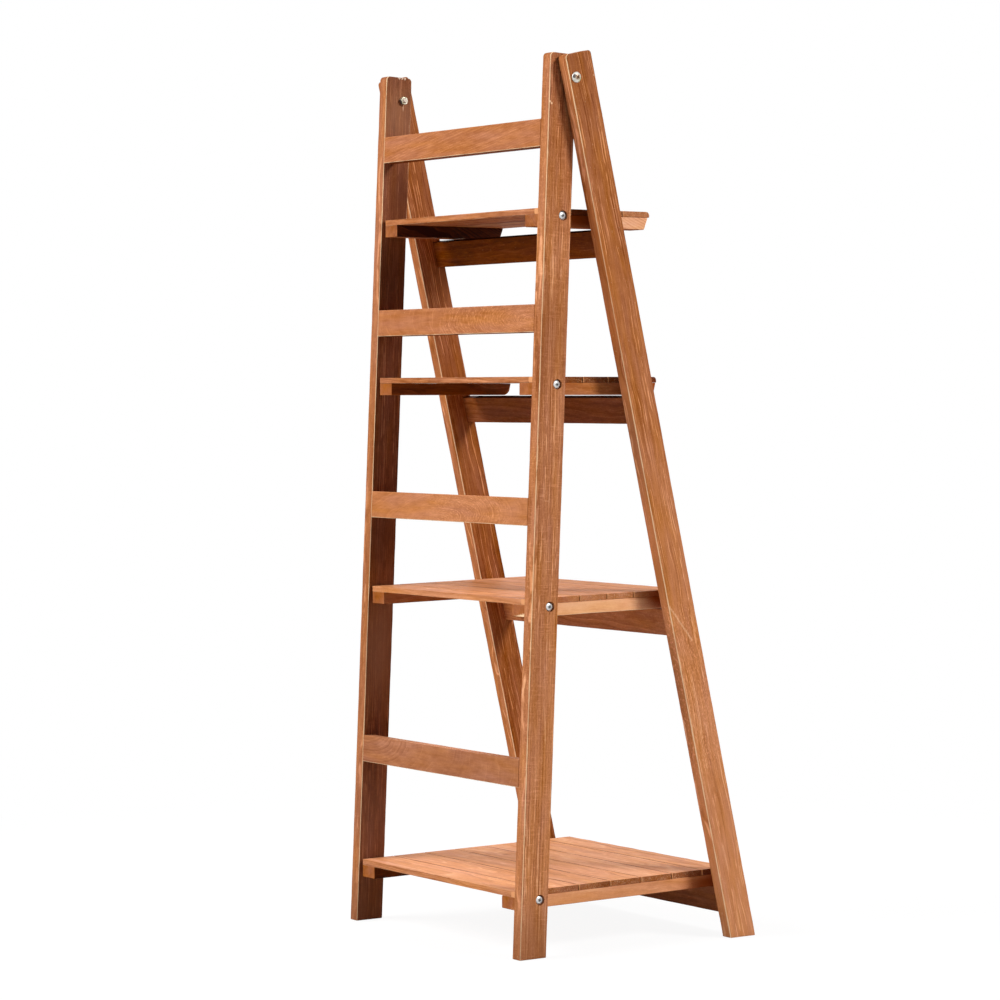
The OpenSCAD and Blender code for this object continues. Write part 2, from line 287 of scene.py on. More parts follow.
# noise through the board: scales along, across and through it per millimetre, detail, roughness
BOARD_NOISE = {
    "speckle": ((0.05, 1.25, 1.25), 3, 0.75),
    "fine": ((0.5, 3.5, 3.5), 2, 0.6),
    "stain": ((0.007, 0.05, 0.05), 3, 0.55),
    "cast": ((0.012, 0.07, 0.07), 2, 0.5),
    "blotch": ((0.05, 0.15, 0.15), 2, 0.5),
    "saw": ((0.75, 0.05, 0.05), 1, 0.5),
    "ragged": ((0.08, 0.7, 0.7), 3, 0.75),
}
# noise that follows the rings: scales along the board, across the rings and sideways, shift, detail, roughness
RING_NOISE = {
    "streak": ((0.006, 0.55, 0.012, 0), 3, 0.7),
    "pale line": ((0.006, 0.85, 0.02, 40), 1, 0.5),
    "line gap": ((0.05, 0.3, 0.05, 70), 1, 0.5),
    "dark line": ((0.006, 0.55, 0.02, 110), 1, 0.5),
    "pores": ((0.24, 1.5, 0.25, 150), 1.5, 0.5),
    "breaks": ((0.09, 0.4, 0.09, 190), 2, 0.5),
}
DARK_PART = (0.2, 0.8, 0.84, 0.97)  # where in a ring its dark part begins, is full, fades and ends
PALE_PART = (0.8, 0.92, 0.93, 1)
WARP_SCALE = (0.012, 0.03, 0.03)
LINE_CUT = (0.56, 0.66)  # the noise between these is a line's edge
DARK_LINE = 0.25  # strength of the dark lines next to the pale ones
SOFT_FLECK = 0.22
FIGURE_FADE = (-12, 25)  # millimetres over which the rings fade out
END_GRAIN = 0.65  # how much weaker the figure is on end grain
SATURATION_SPREAD, HUE_SPREAD = 0.22, 0.014


def wood_group():
    """Solid wood texture in millimetres of the board's own axes: growth rings round a pith beside the board,
    streaks, speckle, pores, uneven stain, a tone for each face, which some boards use for painted shade,
    a gradient of tone along the board, used for painted light and shade, and pale worn edges."""
    group = bpy.data.node_groups.new("wood_figure", "ShaderNodeTree")
    for name, value in WOOD_INPUTS.items():
        kind = "NodeSocketVector" if isinstance(value, tuple) else "NodeSocketFloat"
        socket = group.interface.new_socket(name.replace("_", " "), in_out="INPUT", socket_type=kind)
        socket.default_value = value
    for name, kind in (("Color", "Color"), ("Roughness", "Float"), ("Height", "Float")):
        group.interface.new_socket(name, in_out="OUTPUT", socket_type="NodeSocket" + kind)
    t = Tree(group)
    given = t.add("NodeGroupInput").outputs
    ways = given["Along"], given["Width"], t.vector("CROSS_PRODUCT", given["Along"], given["Width"])

    def times(a, *others):
        for b in others:
            a = t.math("MULTIPLY", a, b)
        return a

    def plus(a, *others):
        for b in others:
            a = t.math("ADD", a, b)
        return a

    def band(v, up, high, down, low):
        """Rises from 0 to 1 between up and high, falls between down and low."""
        return times(t.step(v, up, high), t.step(v, down, low, 1, 0))

    def spread(v, amount):
        """A value from 0 to 1 centred on zero, times an amount."""
        return times(t.math("SUBTRACT", v, 0.5), amount)

    p = t.turned(t.scaled(t.place(), 1 / MM), ways)
    seeded = t.vector("ADD", p, given["Seed"])

    # rings: distance from a wavy, slanted pith line, with a dark and a pale part in each
    pith, drift = t.split(given["Pith"]), t.split(given["Drift"])
    warp = t.noise(t.vector("MULTIPLY", seeded, WARP_SCALE), colour=True)
    warp = t.split(t.vector("SUBTRACT", warp, (0.5, 0.5, 0.5)))
    at = t.split(p)
    from_pith = [plus(at[n + 1], pith[n], times(at[0], drift[n]), times(warp[n], drift[2])) for n in (0, 1)]
    radius = t.vector("LENGTH", t.join(*from_pith, 0))
    phase = t.math("DIVIDE", radius, pith[2])
    part = t.math("FRACT", phase)
    chance = t.add("ShaderNodeTexWhiteNoise", noise_dimensions="1D")
    t.fill(chance, W=plus(t.math("FLOOR", phase), times(pith[1], 1.37)))
    chance = t.split(chance.outputs["Color"])
    dark = times(band(part, *DARK_PART), t.madd(chance[0], 0.9, 0.2))
    pale = times(band(part, *PALE_PART), t.madd(chance[1], 1.3, -0.15, clamp=True))

    # streaks, lines and pores run along the rings; speckle, stain and saw marks along the board
    seeded_at = t.split(seeded)
    flat = plus(seeded_at[1], at[2])
    field = {name: t.noise(t.vector("MULTIPLY", seeded, scale), detail=detail, rough=rough)
             for name, (scale, detail, rough) in BOARD_NOISE.items()}
    for name, ((along, across_rings, sideways, shift), detail, rough) in RING_NOISE.items():
        place = t.join(times(seeded_at[0], along), t.madd(radius, across_rings, shift), times(flat, sideways))
        field[name] = t.noise(place, detail=detail, rough=rough)
    pale_line = times(t.step(field["pale line"], *LINE_CUT), t.step(field["line gap"], 0.38, 0.58))
    dark_line = t.step(field["dark line"], *LINE_CUT)
    saw = times(t.step(field["saw"], 0.5, 0.7), t.step(field["blotch"], 0.4, 0.6))

    # figure: middle and half length of the part of the board that shows rings, and how they lean across it
    figure = t.split(given["Figure"])
    off = t.math("ABSOLUTE", t.math("SUBTRACT", at[0], t.madd(at[1], figure[2], figure[0])))
    figure = t.step(t.math("SUBTRACT", figure[1], off), *FIGURE_FADE)

    # tone of the face that is looked at, in the board's own axes; a higher tone is darker
    normal = t.turned(t.place("Normal"), ways)
    side_grain = t.madd(t.math("ABSOLUTE", t.split(normal)[0]), -END_GRAIN, 1)
    plus_way = t.vector("MAXIMUM", normal, NONE)
    minus_way = t.vector("MAXIMUM", t.scaled(normal, -1), NONE)
    facing = [t.vector("DOT_PRODUCT", way, given[name]) for way, name in (
        (plus_way, "Face plus"), (minus_way, "Face minus"), (t.vector("ABSOLUTE", normal), "Rise"),
        (minus_way, "Dull minus"))]
    # the face tones carry each face's own tone and, on some boards, painted shade; Rise paints a gradient of light and
    # shade along the board
    tone = plus(given["Tone"], plus(*facing[:2]), times(at[0], facing[2]))
    ring = times(figure, side_grain)
    tone = t.madd(times(dark, ring), given["Lines"], tone)
    pale = times(pale, t.step(field["breaks"], 0.3, 0.6), ring)
    tone = t.math("SUBTRACT", tone, times(pale, given["Pale lines"]))
    line = t.math("SUBTRACT", times(dark_line, DARK_LINE), pale_line)
    tone = t.math("SUBTRACT", tone, times(saw, given["Saw"]))
    soft_fleck = times(t.step(field["pores"], 0.52, 0.66), times(given["Fleck"], ring))
    tone = t.madd(soft_fleck, -SOFT_FLECK, tone)
    tone = t.madd(line, times(given["Fine lines"], side_grain), tone)
    for source, name, share in (("streak", "Streaks", 1), ("speckle", "Speckle", 1), ("fine", "Speckle", 0.8),
                                ("stain", "Mottle", 1), ("blotch", "Mottle", 0.8)):
        amount = times(given[name], share)
        if name != "Mottle":
            amount = times(amount, side_grain)
        tone = plus(tone, spread(field[source], amount))
    muted = t.add("ShaderNodeHueSaturation")
    saturation = plus(t.math("SUBTRACT", given["Saturation"], facing[3]), spread(field["cast"], SATURATION_SPREAD))
    hue = plus(spread(field["cast"], HUE_SPREAD), 0.5)
    t.fill(muted, Saturation=saturation, Hue=hue, Color=t.ramp(tone, WOOD_STOPS))

    # pale flecks where the finish has come off, and worn edges
    fleck = times(t.step(field["pores"], 0.7, 0.8), given["Fleck"])
    colour = t.mix(times(fleck, t.step(field["blotch"], 0.35, 0.65)), muted.outputs[0], WORN)
    edge = t.add("ShaderNodeAttribute", attribute_name="edge").outputs["Fac"]
    edge = plus(edge, spread(field["ragged"], 1.1))
    edge = t.math("MULTIPLY", t.step(edge, 0.4, 0.8), given["Worn"], clamp=True)

    height = t.madd(field["fine"], 0.4, times(field["speckle"], 0.6))
    height = t.madd(field["streak"], 0.5, height)
    t.fill(t.add("NodeGroupOutput"), Color=t.mix(edge, colour, WORN), Roughness=t.madd(field["speckle"], 0.3, 0.5),
           Height=t.madd(t.step(field["pores"], 0.6, 0.75), -0.4, height))
    return group


WOOD_GROUP = wood_group()
WOOD_FINISH = dict(Specular_IOR_Level=0, Coat_Weight=0.12, Coat_Roughness=0.45)
WOOD_RELIEF, ZINC_RELIEF = (0.5, 0.0003), (0.25, 0.00005)  # strength, and height in metres


def material(name):
    """A new material, its tree and its shader."""
    mat = bpy.data.materials.new(name)
    mat.use_nodes = True
    return mat, Tree(mat.node_tree), mat.node_tree.nodes["Principled BSDF"]


def bump(t, shader, height, strength, distance):
    """Fine relief on shader from a height field."""
    node = t.fill(t.add("ShaderNodeBump"), Strength=strength, Distance=distance, Height=height)
    t.fill(shader, Normal=node.outputs[0])


def wood(name, frame_axes=Matrix(), marks=(), **given):
    """Material of one board: the wood group with this board's own figure, and the marks made by mark()."""
    mat, t, shader = material(name)
    figure = t.add("ShaderNodeGroup", node_tree=WOOD_GROUP)
    along, width = frame_axes.col[0].xyz, frame_axes.col[1].xyz
    t.fill(figure, Along=along, Width=width, **given)
    colour = figure.outputs["Color"]
    if marks:
        p = t.scaled(t.place(), 1 / MM)
        p = t.turned(p, (along, width, along.cross(width)))
        frayed = t.noise(p, scale=0.9)
        for at, size, tint, amount, fray, soft in marks:
            near = t.vector("MULTIPLY", t.vector("SUBTRACT", p, at), [1 / v for v in size])
            near = t.madd(t.math("SUBTRACT", frayed, 0.5), fray, t.vector("LENGTH", near))
            colour = t.mix(t.step(near, 1 - soft, 1, amount, 0), colour, tint)
    t.fill(shader, Base_Color=colour, Roughness=figure.outputs["Roughness"], **WOOD_FINISH)
    bump(t, shader, figure.outputs["Height"], *WOOD_RELIEF)
    return mat


def mark(at, size, tint, amount, fray, soft):
    """A spot on a board, for its own marks and for painted light and shade: place and half sizes
    along its a, b and c axes, in millimetres from its middle, then its colour and strength, and how ragged and how soft
    its edge is."""
    return at, size, tint, amount, fray, soft


def zinc(name, colour, rough, recess, tints=()):
    """Zinc plate: faint turning marks, a cloudy tint, painted shade in a recess, and painted reflections on the faces
    that look one way.
    """
    mat, t, shader = material(name)
    coord = t.place()
    cloud = t.noise(coord, scale=320, detail=3)
    turning = t.noise(t.vector("MULTIPLY", coord, (4000, 900, 900)))
    shade = t.mix(t.step(cloud, 0.35, 0.7), colour[0], colour[1])
    for way, lo, hi, tint in tints:
        facing = t.vector("DOT_PRODUCT", t.place("Normal"), Vector(way).normalized())
        shade = t.mix(t.step(facing, lo, hi), shade, tint)
    inside = t.add("ShaderNodeAttribute", attribute_name="recess").outputs["Fac"]
    t.fill(shader, Base_Color=t.mix(inside, shade, recess), Roughness=t.madd(cloud, 0.2, rough),
           Metallic=t.madd(inside, -0.4, 0.6))
    bump(t, shader, turning, *ZINC_RELIEF)
    return mat


# -------------------- boards
CORNER_STEPS = 3  # faces round each long arris
SHARPEST = math.radians(38)
EDGE_STEPS = (0, 0.13, 0.5, 1)  # rows over a softened end, as shares of its radius
ROUND_STEPS = (0.02, 0.06, 0.13, 0.22, 0.34, 0.48, 0.64, 0.82, 1)  # the same over rounded corners
FAR = 1e9  # distance of a row that is not near an end
LEAST_R = 0.15
SAG_B, SAG_C = 0.1, 0.08  # the faces waver by this much, and stand in by as much to stay in the CAD box


def wobble(x, y, z=0):
    """Smooth repeatable noise from -1 to 1."""
    return noise.noise(Vector((x, y, z)))


def end_inset(d, r):
    """How far a face stands in at distance d from an end that is rounded to radius r."""
    return r - math.sqrt(max(r * r - (r - d) ** 2, 0)) if d < r else 0


def link(name, data, matrix=Matrix()):
    """A new object in the scene."""
    obj = bpy.data.objects.new(name, data)
    bpy.context.scene.collection.objects.link(obj)
    obj.matrix_world = matrix
    return obj


def skin(bm, rows):
    """Faces between rows of vertices; a row may be one point."""
    for p, q in zip(rows, rows[1:]):
        n = max(len(p), len(q))
        for i in range(n):
            j = (i + 1) % n
            corners = [p[i % len(p)], q[i % len(q)], q[j % len(q)], p[j % len(p)]]
            bm.faces.new([v for m, v in enumerate(corners) if v not in corners[:m]])


def outwards(bm):
    """Turns all faces outwards."""
    bmesh.ops.recalc_face_normals(bm, faces=bm.faces)
    return bm


def mesh_of(bm, name):
    """The mesh of bm, which is used up."""
    mesh = bpy.data.meshes.new(name)
    bm.to_mesh(mesh)
    bm.free()
    return mesh


def cylinder_into(bm, middle, length, d, sides=48, turn=Matrix()):
    """Adds a closed cylinder to bm, in metres. It lies along c unless it is turned."""
    bmesh.ops.create_cone(bm, cap_ends=True, segments=sides, radius1=d / 2 * MM, radius2=d / 2 * MM,
                          depth=length * MM, matrix=Matrix.Translation(Vector(middle) * MM) @ turn)


def cut(obj, tools, turn=Matrix()):
    """Subtracts each bmesh of tools from obj, one after another. Their axes are obj's own, turned by turn."""
    for bm in tools:
        mesh = mesh_of(bm, "cutter")
        mesh.transform(turn)
        tool = link("cutter", mesh, obj.matrix_world.copy())
        mod = obj.modifiers.new("bores", "BOOLEAN")
        mod.operation, mod.solver, mod.object = "DIFFERENCE", "EXACT", tool
        bpy.context.view_layer.update()
        result = bpy.data.meshes.new_from_object(obj.evaluated_get(bpy.context.evaluated_depsgraph_get()))
        obj.modifiers.clear()
        old = obj.data
        obj.data = result
        bpy.data.meshes.remove(old)
        bpy.data.objects.remove(tool)
        bpy.data.meshes.remove(mesh)


def smooth(obj):
    """Smooth shading that keeps flat faces flat."""
    mesh = obj.data
    mesh.shade_smooth()
    mesh.set_sharp_from_angle(angle=SHARPEST)
    obj.modifiers.new("normals", "WEIGHTED_NORMAL").keep_sharp = True


def dress(obj, mat, body, node):
    """Gives a visible piece its material and body, smooths it and hides its CAD node."""
    obj.data.materials.clear()
    obj.data.materials.append(mat)
    smooth(obj)
    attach(obj, body)
    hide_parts(node)


def loop_points(b0, b1, c0, c1, radii):
    """Rounded rectangle: (b, c, edge weight, corner) from the corner (b1, c1) round to (b1, c0)."""
    corners = ((b1, c1, 1, 1), (b0, c1, -1, 1), (b0, c0, -1, -1), (b1, c0, 1, -1))
    points = []
    for k, ((b, c, sb, sc), r) in enumerate(zip(corners, radii)):
        for s in range(CORNER_STEPS + 1):
            ang = math.radians(90) * s / CORNER_STEPS + math.radians(90) * k
            weight = 0 if s in (0, CORNER_STEPS) else 1
            points.append((b - sb * r + r * math.cos(ang), c - sc * r + r * math.sin(ang), weight, k))
        if k in (0, 2):  # the wide faces get points of their own
            last_b, last_c = points[-1][:2]
            next_b = b0 + radii[1] if k == 0 else b1 - radii[3]
            for f in (0.25, 0.5, 0.75):
                points.append((last_b + (next_b - last_b) * f, last_c, 0, -1))
    return points


def end_depths(r, rounds=()):
    """Distances of the rows from an end with radius r and corner radii rounds."""
    depths = {r * f for f in EDGE_STEPS}
    if any(rounds):
        depths |= {max(r, *rounds) * f for f in ROUND_STEPS}
    return sorted(depths)


def arris_radii(at, radii, rag, seed, chips):
    """Radii of the long arrises at one row. Odd factors keep the waves of different arrises apart."""
    uneven = []
    for k, r in enumerate(radii):
        r *= 1 + rag * wobble(at * 0.045 + seed * 7.3, k * 11.7 + seed, 3.1)
        r *= 1 + 0.5 * rag * wobble(at * 0.16 + seed * 3.9, k * 5.1 - seed, 8.7)
        for corner, place, half, depth in chips:
            if corner == k:
                r += depth * math.exp(-((at - place) / half) ** 2)
        uneven.append(max(r, LEAST_R))
    return uneven


def board(name, node, body, frame_axes, a, b, c, look, radii, wear, end_r, seed, ends=(0, 0),
          cuts=(0, 0), rounds=(0, 0), step=7, chips=(), bores=None, rag=0.45):
    """A board with rounded, slightly uneven arrises and its own material.

    a, b, c: its ranges in frame_axes; look: values for wood();
    radii, wear: radius of each long arris, how pale it is; end_r, ends: the same for the end arrises;
    cuts: slope of each end across b; rounds: corner radii at the far end, on the b0 and b1 side;
    rag: how uneven the radii are; chips: (corner, a, half length, depth) dents;
    bores: function of the board's middle that gives the cutters."""
    (a0, a1), (b0, b1), (c0, c1) = a, b, c
    am, bmid, cm = middle = (a0 + a1) / 2, (b0 + b1) / 2, (c0 + c1) / 2
    turn = frame_axes.to_3x3()
    near, far = end_depths(end_r[0]), end_depths(end_r[1], rounds)
    count = max(2, round((a1 - a0 - near[-1] - far[-1]) / step))
    start, stop = a0 + near[-1], a1 - far[-1]
    rows = [(a0 + d, d, FAR) for d in near]
    rows += [(start + (stop - start) * i / count, FAR, FAR) for i in range(1, count)]
    rows += [(a1 - d, FAR, d) for d in reversed(far)]
    bm = bmesh.new()
    layer = bm.verts.layers.float.new("edge")
    loops = []
    for at, d0, d1 in rows:
        inset = max(end_inset(d0, end_r[0]), end_inset(d1, end_r[1]))
        in_b0, in_b1 = (max(inset, end_inset(d1, corner)) for corner in rounds)
        t = (at - a0) / (a1 - a0)
        slope = cuts[0] * (1 - t) + cuts[1] * t
        end_weight = max(ends[0] if d0 < end_r[0] else 0, ends[1] if d1 < end_r[1] else 0)
        sag_b = SAG_B * wobble(at * 0.02, seed * 5.3, 1.7) - SAG_B
        sag_c = SAG_C * wobble(at * 0.025, seed * 2.9, 6.1) - SAG_C
        row_radii = arris_radii(at, radii, rag, seed, chips)
        row = []
        for pb, pc, weight, k in loop_points(b0 + in_b0, b1 - in_b1, c0 + inset, c1 - inset, row_radii):
            qb = bmid + (pb - bmid) * (1 + 2 * sag_b / (b1 - b0))
            qc = cm + (pc - cm) * (1 + 2 * sag_c / (c1 - c0))
            v = bm.verts.new(turn @ (Vector((at + slope * (pb - b0) - am, qb - bmid, qc - cm)) * MM))
            worn = weight * wear[k] if k >= 0 else 0
            worn *= 1 + 0.45 * wobble(at * 0.06, k * 3.3 + seed, 12.9)
            v[layer] = max(worn, end_weight)
            row.append(v)
        loops.append(row)
    skin(bm, loops)
    bm.faces.new(loops[0])
    bm.faces.new(list(reversed(loops[-1])))
    obj = link(name, mesh_of(outwards(bm), name), Matrix.Translation(frame_axes @ Vector(middle) * MM))
    if bores:
        cut(obj, bores(middle), turn.to_4x4())
    dress(obj, wood(node, frame_axes, **look), body, node)


def span(side, x0, x1):
    """Range on one side of the middle, between two distances from it."""
    return sorted((side * x0, side * x1))


def dowel_places(middle):
    """The two dowels at a rung's or rail's end, above and below its middle."""
    return [middle + s * DOWEL_PITCH / 2 for s in (-1, 1)]


def leg_bores(side, front):
    """Cutters for a leg: fold bolt, dowels and screw sinks first, the screws' own bores second."""
    def cutters(mid):
        def bore(bm, u, v, x0, x1, d):
            c0, c1 = (c - mid[2] for c in span(-side, x0, x1))
            cylinder_into(bm, (u - mid[0], v - mid[1], (c0 + c1) / 2), c1 - c0, d)

        first = bmesh.new()
        if not front:
            bore(first, 0, 0, REAR_IN_X - PAST, REAR_OUT_X + PAST, BOLT_D + 2 * TURN_PLAY)
            for top in RAIL_TOP:
                for u in dowel_places(top - RAIL_H / 2):
                    bore(first, u, RAIL_BACK - RAIL_T / 2, REAR_IN_X - PAST, REAR_IN_X + DOWEL_IN_LEG,
                         RAIL_DOWEL_D + 2 * DOWEL_PLAY)
            return [first]
        second = bmesh.new()
        bore(first, FOLD_U, FRONT_BOLT_IN, IN_X - PAST, OUT_X + PAST, BOLT_D + 2 * TURN_PLAY)
        sink = OUT_X - SCREW_SINK - SCREW_HEAD_H - FACE_PLAY
        for z in PIVOT_Z:
            u = front_u(PIVOT_IN, z)
            bore(first, u, PIVOT_IN, sink, OUT_X + PAST, SCREW_HEAD_D + 2 * SINK_PLAY)
            bore(second, u, PIVOT_IN, IN_X - PAST, sink + 1, SCREW_D + 2 * TURN_PLAY)
        for z in RUNG_Z:
            for u in dowel_places(z / CF):
                bore(first, u, RUNG_T / 2, IN_X - PAST, IN_X + DOWEL_IN_LEG, RUNG_DOWEL_D + 2 * DOWEL_PLAY)
        return [first, second]
    return cutters


def crosspiece_bores(half, centre_b, centre_c, d):
    """Cutters for the dowel bores in both ends of a rung or rail."""
    def cutters(mid):
        bm = bmesh.new()
        for e in (-1, 1):
            for b in dowel_places(centre_b):
                a0, a1 = (a - mid[0] for a in span(e, half - DOWEL_IN_RUNG, half + PAST))
                cylinder_into(bm, ((a0 + a1) / 2, b - mid[1], centre_c - mid[2]), a1 - a0, d, sides=32,
                              turn=Matrix.Rotation(math.pi / 2, 4, "Y"))
        return [bm]
    return cutters


def pilot_bores(side):
    """Cutter for the pivot screw's bore in a batten."""
    def cutters(mid):
        bm = bmesh.new()
        c0, c1 = (c - mid[2] for c in span(side, SHELF_X - SCREW_BITE - PILOT_PAST, SHELF_X + PAST))
        cylinder_into(bm, (-mid[0], -mid[1], (c0 + c1) / 2), c1 - c0, SCREW_D + 2 * TURN_PLAY)
        return [bm]
    return cutters


# -------------------- legs
# b- is the front face, c- the face towards +X; a face's tone is added to Tone
SIDES = (1, "right"), (-1, "left")
PLUS_X = -LEG_T / 2
LEG_MID = (FOLD_U + FRONT_OVER + FOOT_UP) / 2


def spots(rows, tint, fray, soft, c=PLUS_X):
    """Marks on one face, from rows of place (a, b), half sizes and strength."""
    return [mark((a, b, c), size, tint, amount, fray, soft) for a, b, size, amount in rows]


# painted shade in and round the pivot screws' counterbores
SINK_SHADE = spots([(front_u(PIVOT_IN, z) - LEG_MID, PIVOT_IN - LEG_W / 2, (8, 8, 2.4), 0.4) for z in PIVOT_Z],
                   srgb(84, 46, 26), 0, 0.1, PLUS_X + 2.3)
# the front legs darker towards their feet
DARKER_FEET = [mark((-LEG_MID, 0, 0), (95, 60, 40), srgb(128, 76, 46), 0.5, 0.3, 0.75)]
TOP_CHIPS = spots([(523.5, b, (2.2, 1.6, 1.6), 0.8) for b in (0, 4.5, 8.5)], srgb(255, 226, 200), 1.4, 0.3,
                  PLUS_X + 0.3)
NUT_SCAR = spots([(486.5, 7.2, (5, 0.9, 2), 0.85)], srgb(232, 190, 160), 0.9, 0.4)
# painted light on the left front leg's inner face: lighter patches near the top and low down, where less shade falls
LEFT_PAINTED_LIGHT = [mark((a, 0, PLUS_X), (long, 40, 7), tint, amount, 0.3, 0.9) for a, long, tint, amount in (
    (-190, 100, srgb(160, 108, 78), 0.55), (-400, 120, srgb(124, 84, 66), 0.45), (470, 60, srgb(182, 130, 98), 0.4))]
TOP_SCRATCH = spots([(468.5 - 2 * n, -20 + 2.6 * n, (1.6, 1.6, 1.6), 0.8) for n in range(3)], WORN, 0.9, 0.4)
SAW_CUTS = spots([(a, b, (0.9, wide, 1.5), 0.45) for a, b, wide in (
    (4, -3, 7), (-40, -6, 6), (-66, 2, 6), (90, 3, 5))], srgb(226, 166, 122), 1.2, 0.7)
# a darker patch between shelves 1 and 2 on the right front leg's +X face
RIGHT_DARK_PATCH = spots([(205, 0, (80, 40, 7), 0.35)], srgb(146, 84, 46), 0.3, 0.9)
# painted shade on the left front leg's inner face, just under the first rung, under shelf 1 and under the third rung
LEFT_SHADE = spots([(372, 10, (62, 26, 7), 0.5), (274, 0, (60, 40, 7), 0.5),
                    (-50, 0, (60, 40, 7), 0.4)], srgb(78, 36, 16), 0.3, 0.9)
# the left leg's inner face (c-) is darker and duller, partly its own darker wood, partly painted shade between the
# legs; Rise paints shade along the legs, darker towards the top of the right leg's sides
FRONT_LOOKS = {
    "right": dict(
        marks=SINK_SHADE + TOP_SCRATCH + SAW_CUTS + DARKER_FEET + RIGHT_DARK_PATCH, Pith=(-60, 12, 4.2), Tone=0.465,
        Face_plus=(0.1, 0.1, 0.2), Face_minus=(0.1, 0.02, 0.03), Rise=(0, 0.00002, 0.00011), Fine_lines=0.36,
        Speckle=0.44, Fleck=0.3, Saw=0.1),
    "left": dict(
        marks=TOP_CHIPS + NUT_SCAR + LEFT_PAINTED_LIGHT + DARKER_FEET + LEFT_SHADE, Pith=(-50, 10, 3.4), Tone=0.53,
        Face_plus=(0.1, 0.1, 0.02), Face_minus=(0.1, 0, 0.18), Rise=(0, 0.00002, -0.00002), Fine_lines=0.18,
        Speckle=0.28, Fleck=0.15, Saturation=0.98, Dull_minus=(0, 0, 0.03), Saw=0.03),
}
FRONT_SHAPES = {  # wear of the back arris, and chips
    "right": (0.45, ((2, 931, 2.5, 0.7),)), "left": (0.75, ((3, 1042, 2.6, 0.8), (0, 1043.5, 3, 0.6)))}
for side, word in SIDES:
    look = dict(Seed=(310 * side, 20 + 40 * side, 75), Drift=(0.004, 0.003, 4), Lines=0.05, Pale_lines=0.12,
                Streaks=0.2, Mottle=0.2, **FRONT_LOOKS[word])
    worn, chips = FRONT_SHAPES[word]
    board("leg_front_" + word, "front_leg_" + word, "front_frame", FRONT_LEG_AXES,
          (FOOT_UP, FOLD_U + FRONT_OVER), (0, LEG_W), span(-side, IN_X, OUT_X), look,
          radii=(1,) * 4, wear=(0.35, 0.4, 0.95, worn), ends=(0.6, 0.45), cuts=(SF / CF, 0),
          end_r=(0.8, 0.9), rounds=(TOP_R, TOP_R), seed=1.3 + side, chips=chips,
          bores=leg_bores(side, True))

LONG_SCRATCH = spots([(-127 - 3.4 * n, -16.7 + 1.7 * n + 0.8 * wobble(n * 0.45, 2.2), (3.4, 0.9, 1.3), 0.65)
                      for n in range(14)], srgb(240, 190, 146), 0.6, 0.4)
WARM_EDGE = [mark((270, -LEG_W / 2, 0), (200, 5, 30), srgb(190, 106, 48), 0.4, 0.3, 0.8)]
# Rise paints a gradient of light and shade along the rear legs, the right one darker towards the top
REAR_LOOKS = {
    "right": dict(marks=LONG_SCRATCH + WARM_EDGE, Pith=(-48, 20, 5), Face_minus=(0.1, -0.05, -0.01),
                  Rise=(0, 0.00012, 0.00027), Fleck=0.9),
    "left": dict(Pith=(-40, 14, 3.6), Face_minus=(0.1, 0.02, 0.13), Rise=(0, 0.00012, -0.0001), Fleck=0.2),
}
for side, word in SIDES:
    look = dict(Seed=(150 * side, 220, 90 + 30 * side), Drift=(0.01, 0.006, 11), Face_plus=(0.1, 0.1, 0.2),
                Figure=(-230, 110, 0), Tone=0.475, Lines=0.05, Pale_lines=0.14, Fine_lines=0.32, Streaks=0.1,
                Speckle=0.3, Mottle=0.2, Saturation=1.02, Saw=0.03, **REAR_LOOKS[word])
    board("leg_rear_" + word, "rear_leg_" + word, "rear_frame", REAR_LEG_AXES,
          (rear_u(-REAR_BOLT_IN, 0) + FOOT_UP, REAR_OVER), (-REAR_BOLT_IN, LEG_W - REAR_BOLT_IN),
          span(-side, REAR_IN_X, REAR_OUT_X), look,
          radii=(1.1,) * 4, wear=(0.3, 0.35, 1.4, 0.4), ends=(0.6, 0.4), cuts=(-SR / CR, 0),
          end_r=(0.8, 0.9), rounds=(REAR_TOP_R, BACK_R), seed=6.1 + side, bores=leg_bores(side, False))

# -------------------- rungs, rails and shelves
# rungs: c+ is the front face, b+ is up
RUNG_LOOKS = (
    dict(Pith=(-46, 22, 2.6), Drift=(-0.17, 0.02, 5), Tone=0.5, Lines=0.03, Pale_lines=0.22, Fine_lines=0.05),
    dict(Pith=(-2, -50, 1.7), Drift=(0.02, 0.27, 7), Figure=(80, 110, 0.6), Tone=0.51, Lines=0.02,
         Pale_lines=0.26, Fine_lines=0.05),
    dict(Pith=(14, 0, 1.6), Drift=(-0.1, 0.3, 9), Figure=(42, 85, -0.5), Tone=0.45, Lines=0.03,
         Pale_lines=0.34, Fine_lines=0.05),
    dict(Pith=(-14, 62, 3.2), Drift=(0.1, 0.4, 8), Figure=(-150, 85, 1.5), Tone=0.53, Lines=0.07,
         Pale_lines=0.1, Fine_lines=0.04, Saturation=0.95),
)
for i, own in enumerate(RUNG_LOOKS):
    u = RUNG_Z[i] / CF
    # painted light and shade on the rungs: their tops (b+) lighter, their undersides (b-) darker
    look = dict(Seed=(90 * i, 35 * i, 60 - 20 * i), Face_plus=(0.1, -0.08, 0), Face_minus=(0.1, 0.25, 0.15),
                Streaks=0.08, Mottle=0.22, Fleck=0.5 if i in (1, 2) else 0.1, **own)
    board("rung_%d" % (i + 1), "front_rung_%d" % (i + 1), "front_frame", RUNG_AXES,
          (-IN_X, IN_X), (u - RUNG_H / 2, u + RUNG_H / 2), (-RUNG_T, 0), look,
          radii=(0.9,) * 4, wear=(0.25, 0.85, 0.3, 0.2), end_r=(0.25, 0.25), seed=20.5 + i,
          bores=crosspiece_bores(IN_X, u, -RUNG_T / 2, RUNG_DOWEL_D + 2 * DOWEL_PLAY))
